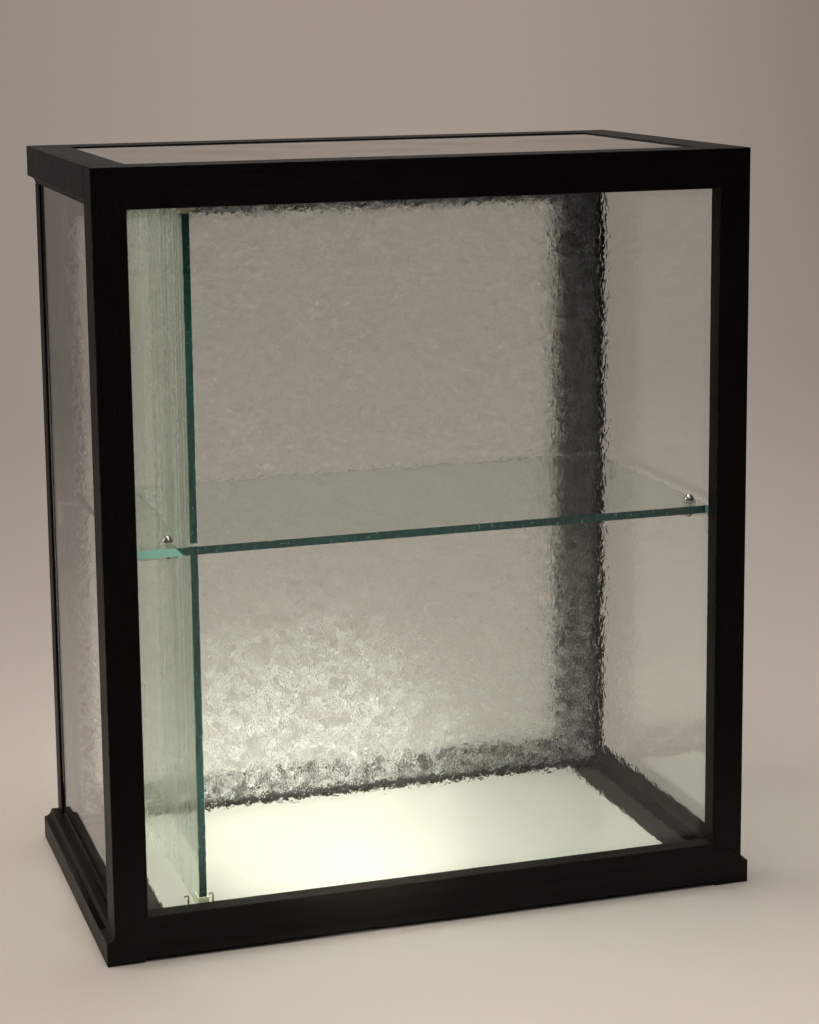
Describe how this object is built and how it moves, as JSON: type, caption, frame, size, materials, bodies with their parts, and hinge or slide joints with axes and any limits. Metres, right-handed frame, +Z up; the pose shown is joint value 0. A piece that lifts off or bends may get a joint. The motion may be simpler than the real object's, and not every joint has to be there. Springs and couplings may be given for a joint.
{
  "type": "table-top display case",
  "caption": "Dark timber display case glazed on all sides, with a glass shelf, an upright glass divider, a white floor panel and a hinged rear door of rippled glass.",
  "frame": {"origin": "on the table, under the middle of the case's overall width and depth, the door knob included", "axes": "+X across the front to the right as seen from the front, +Y from the front face to the rear door, +Z up"},
  "size_m": [0.512, 0.304, 0.58],
  "materials": {
    "frame_timber": "near-black satin paint over fine grain",
    "base_board": "dark matt board",
    "clear_glass": "clear float glass",
    "green_edge_glass": "clear float glass with ground green edges",
    "rippled_glass": "clear glass with one rippled face",
    "white_panel": "glossy white laminate",
    "clear_plastic": "clear acrylic",
    "cream_nylon": "satin cream nylon",
    "pale_clip": "satin pale plastic",
    "screw_chrome": "polished",
    "brass_fitting": "aged brass",
    "knob_metal": "dark satin metal",
    "black_rubber": "matt rubber",
    "black_plastic": "satin black plastic"
  },
  "bodies": {
    "case": {"front_bottom_rail": "frame_timber", "front_top_rail": "frame_timber", "front_right_stile": "frame_timber", "front_left_stile": "frame_timber", "front_glass": "clear_glass", "front_bead_right": "frame_timber", "front_bead_left": "frame_timber", "front_bead_top": "frame_timber", "front_bead_bottom": "frame_timber", "right_top_rail": "frame_timber", "left_top_rail": "frame_timber", "rear_top_rail": "frame_timber", "top_glass": "clear_glass", "right_bottom_rail": "frame_timber", "left_bottom_rail": "frame_timber", "right_rear_post": "frame_timber", "left_rear_post": "frame_timber", "right_glass": "clear_glass", "left_glass": "clear_glass", "right_glass_bead": "frame_timber", "left_glass_bead": "frame_timber", "rear_bottom_rail": "frame_timber", "base_board": "base_board", "floor_panel": "white_panel", "shelf_glass": "green_edge_glass", "shelf_bracket_front_left": "clear_plastic", "shelf_washer_left": "cream_nylon", "shelf_screw_left": "screw_chrome", "shelf_bracket_front_right": "clear_plastic", "shelf_washer_right": "cream_nylon", "shelf_screw_right": "screw_chrome", "shelf_bracket_rear_left": "clear_plastic", "shelf_bracket_rear_right": "clear_plastic", "lower_divider_glass": "green_edge_glass", "upper_divider_glass": "green_edge_glass", "divider_clip_front": "pale_clip", "divider_clip_rear": "pale_clip", "divider_shoe_front": "pale_clip", "divider_shoe_rear": "pale_clip", "divider_hook_left": "brass_fitting", "divider_hook_right": "brass_fitting", "lower_hinge_case_leaf": "brass_fitting", "lower_hinge_pin": "brass_fitting", "upper_hinge_case_leaf": "brass_fitting", "upper_hinge_pin": "brass_fitting", "catch_body": "black_plastic"},
    "rear_door": {"door_hinge_stile": "frame_timber", "door_closing_stile": "frame_timber", "door_top_rail": "frame_timber", "door_bottom_rail": "frame_timber", "rear_glass": "rippled_glass", "rear_glass_gasket": "black_rubber", "door_knob": "knob_metal", "lower_hinge_door_leaf": "brass_fitting", "upper_hinge_door_leaf": "brass_fitting", "catch_strike_plate": "screw_chrome"}
  },
  "joints": [
    {"name": "rear_door_hinge", "type": "hinge", "parent": "case", "child": "rear_door", "pos_m": [0.2315, 0.1388, 0.2855], "axis": [0, 0, -1], "range_deg": [0, 170]}
  ]
}
